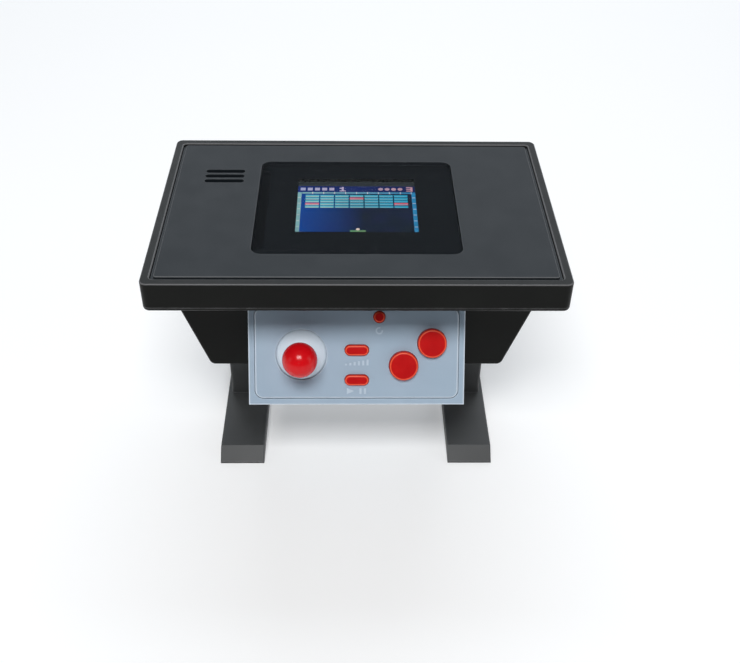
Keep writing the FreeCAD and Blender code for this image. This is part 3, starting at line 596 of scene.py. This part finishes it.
def lit(name, left, right, lump):
    """A lit part of the picture, crossed by pixel rows, its colour changing from left to right.

    Its light is uneven in lumps about `lump` metres across.
    """
    material, shader = glowing(name)
    half = PICTURE_WIDTH / 2
    colour = blend_colours(shader, across(shader, -half, half), left, right)
    colour = dim(shader, colour, remap(shader, noise(shader, lump, 1.0), 0.8, 1.0, 0.3, 0.7))
    place = add(shader, "ShaderNodeTexCoord")
    rows = add(shader, "ShaderNodeTexWave", bands_direction="Y", Scale=WAVE_SCALE / PIXEL_ROW)
    join(shader, place.outputs["Object"], rows.inputs["Vector"])
    colour = dim(shader, colour, remap(shader, rows.outputs["Fac"], 0.75, 1.0, 0.0, 1.0))
    join(shader, colour, shader.inputs["Emission Color"])
    return material


def night_field():
    """The playing field: blue at the left, through violet, to near black at the right."""
    material, shader = glowing("picture_field")
    dark_from = 0.06 * PICTURE_WIDTH
    fade = across(shader, -PICTURE_WIDTH / 2 + WALL, dark_from)
    colour = blend_colours(shader, fade, (0.0, 0.05, 0.26), (0.003, 0.01, 0.02))
    cloud = remap(shader, noise(shader, 9 * MM, 1.0), 0.0, 0.2)
    colour = blend_colours(shader, cloud, colour, (0.012, 0.01, 0.12))
    join(shader, colour, shader.inputs["Emission Color"])
    return material


def layer(level):
    """Bottom and top of one layer of the picture; each level lies on the one below."""
    low = GLASS_HIGH.z + level * PICTURE_LAYER
    return low, low + PICTURE_LAYER


def make_field():
    mesh = bmesh.new()
    middle = PICTURE_FAR - PICTURE_DEPTH / 2
    prism(mesh, rectangle(0, middle, PICTURE_WIDTH, PICTURE_DEPTH), *layer(0))
    piece("picture_field", mesh, night_field())


def make_header():
    mesh = bmesh.new()
    prism(mesh, rectangle(0, PICTURE_FAR - HEADER / 2, PICTURE_WIDTH, HEADER), *layer(1))
    material = lit("picture_header", (0.008, 0.03, 0.2), (0.01, 0.018, 0.1), 12 * MM)
    piece("picture_header", mesh, material)


def draw_digit(mesh, digit, left, far):
    """One digit in small blocks, from its far left corner."""
    for row, pattern in enumerate(DIGITS[digit]):
        for column, on in enumerate(pattern):
            if on == "1":
                x = left + (column + 0.5) * DIGIT_BLOCK[0]
                y = far - (row + 0.5) * DIGIT_BLOCK[1]
                prism(mesh, rectangle(x, y, *DIGIT_BLOCK), *layer(2))


def make_counters():
    """Squares and a digit at the left of the header, dots and a digit at its right."""
    mesh = bmesh.new()
    far = PICTURE_FAR - 0.45 * MM
    middle = far - 2.5 * DIGIT_BLOCK[1]
    size = 1.5 * MM
    draw_digit(mesh, "1", -5.2 * MM, far)
    draw_digit(mesh, "3", 15.3 * MM, far)
    for i in range(5):
        prism(mesh, rectangle((-16.4 + 2.2 * i) * MM, middle, size, size), *layer(2))
    for i in range(4):
        prism(mesh, disc((7.4 + 2.0 * i) * MM, middle, size / 2), *layer(2))
    material = lit("picture_counters", (0.5, 0.52, 0.76), (0.6, 0.32, 0.36), 3 * MM)
    piece("picture_counters", mesh, material)


def make_walls():
    """The pipe round the field, in short lengths with pale joints."""
    pipes = bmesh.new()
    joints = bmesh.new()
    joint = 0.3 * MM
    start = PICTURE_FAR - HEADER

    side = (PICTURE_WIDTH - WALL) / 2
    lengths = 8
    length = (PICTURE_DEPTH - HEADER) / lengths
    for x in (-side, side):
        for i in range(lengths):
            y = start - (i + 0.5) * length
            prism(pipes, rectangle(x, y, WALL, length - joint), *layer(2))
            prism(joints, rectangle(x, y - length / 2, WALL * 0.8, joint), *layer(2))

    spans = 10
    span = (PICTURE_WIDTH - 2 * WALL) / spans
    top = start - 0.5 * MM
    for i in range(spans):
        x = -side + WALL / 2 + (i + 0.5) * span
        prism(pipes, rectangle(x, top, span - joint, 0.8 * MM), *layer(2))
        prism(joints, rectangle(x + span / 2, top, joint, 1.1 * MM), *layer(2))

    blue = lit("picture_walls", (0.26, 0.52, 0.52), (0.02, 0.26, 0.52), 4 * MM)
    pale = lit("picture_joints", (0.7, 0.72, 0.66), (0.5, 0.6, 0.75), 4 * MM)
    piece("picture_walls", pipes, blue)
    piece("picture_joints", joints, pale)


def brick_places():
    """Row, column and centre of each brick."""
    pitch = BRICK_SPAN / BRICK_COLUMNS
    for row in range(BRICK_ROWS):
        for column in range(BRICK_COLUMNS):
            x = -BRICK_SPAN / 2 + (column + 0.5) * pitch
            y = PICTURE_FAR - BRICK_START - (row + 0.5) * BRICK_PITCH
            yield row, column, x, y


def make_bricks():
    """Bricks in one colour with a few of another, each with a lighter strip along one side."""
    width = BRICK_SPAN / BRICK_COLUMNS - BRICK_GAP
    depth = BRICK_PITCH - BRICK_GAP
    plain = bmesh.new()
    odd = bmesh.new()
    shine = bmesh.new()
    for row, column, x, y in brick_places():
        mesh = odd if (row, column) in ODD_BRICKS else plain
        prism(mesh, rectangle(x, y, width, depth), *layer(1))
        strip = rectangle(x, y - depth * 0.3, width * 0.92, depth * 0.22)
        prism(shine, strip, *layer(2))
    teal = lit("picture_bricks", (0.13, 0.58, 0.66), (0.0, 0.33, 0.56), 14 * MM)
    pink = lit("picture_odd_bricks", (0.75, 0.2, 0.32), (0.8, 0.14, 0.2), 6 * MM)
    pale = lit("picture_brick_shine", (0.75, 0.78, 0.6), (0.06, 0.48, 0.62), 14 * MM)
    piece("picture_bricks", plain, teal)
    piece("picture_odd_bricks", odd, pink)
    piece("picture_brick_shine", shine, pale)


def make_players():
    """Paddle and ball, a little right of the middle."""
    x = 0.3 * MM
    y = PICTURE_FAR - PADDLE_DOWN
    paddle = bmesh.new()
    prism(paddle, rectangle(x, y, *PADDLE), *layer(1))
    green = lit("picture_paddle", (0.02, 0.4, 0.2), (0.3, 0.35, 0.12), 1.5 * MM)
    piece("picture_paddle", paddle, green)
    ball = bmesh.new()
    prism(ball, disc(x, y + PADDLE[1] / 2 + BALL_RADIUS, BALL_RADIUS), *layer(1))
    warm = lit("picture_ball", (1.0, 0.7, 0.6), (1.0, 0.85, 0.75), 1.0 * MM)
    piece("picture_ball", ball, warm)


# --- marks on the control face --------------------------------------------------------------------
def make_volume_mark(material):
    """Bars that rise from left to right, under the upper oval button."""
    count = 6
    pitch = 1.25 * MM
    foot = 11.4 * MM
    bars = bmesh.new()
    for i in range(count):
        height = (0.5 + 0.24 * i) * MM
        x = (i - (count - 1) / 2) * pitch
        bar = rectangle(x, foot + height / 2, 0.6 * MM, height)
        prism(bars, bar, MARK_LOW, MARK_HIGH, FACE)
    piece("volume_mark", bars, material)


def make_start_mark(material):
    """A triangle and two bars, go and wait, under the lower oval button."""
    middle = 3.8 * MM
    half = 0.9 * MM
    mark = bmesh.new()
    triangle = [(-2.9 * MM, middle - half), (-0.7 * MM, middle), (-2.9 * MM, middle + half)]
    prism(mark, triangle, MARK_LOW, MARK_HIGH, FACE)
    for x in (1.1 * MM, 2.4 * MM):
        bar = rectangle(x, middle, 0.65 * MM, 1.7 * MM)
        prism(mark, bar, MARK_LOW, MARK_HIGH, FACE)
    piece("start_mark", mark, material)


def make_reset_mark(material):
    """A ring open at its upper right, under the small round button."""
    outer_radius = 1.1 * MM
    inner_radius = 0.65 * MM
    place = FACE @ Matrix.Translation((6.5 * MM, 21.6 * MM, 0))
    turns = [math.radians(a) for a in range(70, 371, 15)]
    ring = bmesh.new()
    for start, stop in zip(turns, turns[1:]):
        outer = [(math.cos(a) * outer_radius, math.sin(a) * outer_radius) for a in (start, stop)]
        inner = [(math.cos(a) * inner_radius, math.sin(a) * inner_radius) for a in (stop, start)]
        prism(ring, outer + inner, MARK_LOW, MARK_HIGH, place)
    bmesh.ops.remove_doubles(ring, verts=ring.verts, dist=0.001 * MM)
    piece("reset_mark", ring, material)


def make_marks():
    """Raised marks where such a face has its captions."""
    material = mark_grey()
    make_volume_mark(material)
    make_start_mark(material)
    make_reset_mark(material)


# --- rubber domes -------------------------------------------------------------------------------
def make_domes(material):
    """Rubber domes under their buttons, each a copy set in the place of its plain solid."""
    for joint in frame["joints"]:
        for deforming in joint.get("deforming_nodes", []):
            node = deforming["node"]
            data = NODES[node].data.copy()
            data.materials.clear()
            data.materials.append(material)
            rubber = bpy.data.objects.new(node + "_rubber", data)
            bpy.context.scene.collection.objects.link(rubber)
            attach(rubber, "cabinet")
            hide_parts(node)
            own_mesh(rubber)


# --- studio -------------------------------------------------------------------------------------
def make_floor():
    """A plain pale floor, far wider than the view, with a faint glow to keep it pale far out."""
    mesh = bmesh.new()
    width = 8.0
    corners = [mesh.verts.new((x, y, 0)) for x, y in rectangle(0, 0, width, width)]
    mesh.faces.new(corners)
    data = bpy.data.meshes.new("floor")
    mesh.to_mesh(data)
    mesh.free()
    material, shader = new_material("pale_floor")
    shade = remap(shader, noise(shader, 0.4), 0.0, 1.0)
    surface = blend_colours(shader, shade, (0.75, 0.75, 0.75), (0.77, 0.77, 0.77))
    join(shader, surface, shader.inputs["Base Color"])
    shader.inputs["Roughness"].default_value = 0.7
    shader.inputs["Emission Color"].default_value = rgba((1.0, 1.0, 1.0))
    shader.inputs["Emission Strength"].default_value = 0.25
    data.materials.append(material)
    floor = bpy.data.objects.new("floor", data)
    bpy.context.scene.collection.objects.link(floor)


def softbox(name, place, aim, size, power, tint=(1.0, 1.0, 1.0)):
    """A rectangular lamp at a place, aimed at a point, with its power in watts."""
    light = bpy.data.lights.new(name, "AREA")
    light.shape = "RECTANGLE"
    light.size, light.size_y = size
    light.energy = power
    light.color = tint
    lamp = bpy.data.objects.new(name, light)
    lamp.location = place
    lamp.rotation_euler = (Vector(aim) - Vector(place)).to_track_quat("-Z", "Y").to_euler()
    bpy.context.scene.collection.objects.link(lamp)


def make_world():
    """A dim pale room that looks bright where it is seen directly."""
    world = bpy.data.worlds.new("studio")
    world.use_nodes = True
    tree = world.node_tree
    background = tree.nodes["Background"]
    background.inputs["Color"].default_value = rgba((0.93, 0.96, 1.0))
    seen = tree.nodes.new("ShaderNodeLightPath")
    strength = tree.nodes.new("ShaderNodeMapRange")
    strength.inputs["To Min"].default_value = 0.1
    strength.inputs["To Max"].default_value = 0.8
    tree.links.new(seen.outputs["Is Camera Ray"], strength.inputs["Value"])
    tree.links.new(strength.outputs["Result"], background.inputs["Strength"])
    bpy.context.scene.world = world


def make_light():
    make_world()
    softbox("key_light", (-0.05, -0.54, 0.9), (0, 0, 0.04), (0.45, 0.3), 7.7)
    softbox("back_light", (0.1, 1.1, 1.05), (0, 0, 0.05), (1.5, 0.9), 14.5, (0.88, 0.94, 1.0))
    softbox("left_light", (-1.0, -0.35, 0.35), (0, 0, 0.05), (0.4, 0.5), 0.5)
    softbox("right_light", (1.0, -0.3, 0.4), (0, 0, 0.05), (0.4, 0.5), 0.8)


def make_camera():
    """The camera of the reference view, aimed by its pitch, yaw and roll."""
    pitch, yaw, roll = (math.radians(a) for a in (CAMERA_PITCH, CAMERA_YAW, CAMERA_ROLL))
    level_ahead = Vector((math.sin(yaw), math.cos(yaw), 0))
    level_right = Vector((math.cos(yaw), -math.sin(yaw), 0))
    upwards = Vector((0, 0, 1))
    ahead = level_ahead * math.cos(pitch) - upwards * math.sin(pitch)
    above = level_ahead * math.sin(pitch) + upwards * math.cos(pitch)
    right = level_right * math.cos(roll) + above * math.sin(roll)
    top = above * math.cos(roll) - level_right * math.sin(roll)
    camera = bpy.data.objects.new("camera", bpy.data.cameras.new("camera"))
    camera.matrix_world = Matrix.LocRotScale(
        CAMERA_PLACE,
        Matrix((right, top, -ahead)).transposed(),
        None,
    )
    camera.data.sensor_width = CAMERA_SENSOR
    camera.data.lens = CAMERA_LENS
    camera.data.clip_start = 0.01
    camera.data.clip_end = 20.0
    bpy.context.scene.collection.objects.link(camera)
    bpy.context.scene.camera = camera


def main():
    bpy.context.scene.view_settings.view_transform = "Standard"
    make_camera()
    make_light()
    make_floor()
    finishes = finish_nodes()
    make_field()
    make_header()
    make_counters()
    make_walls()
    make_bricks()
    make_players()
    make_marks()
    make_domes(finishes["silicone"])


main()
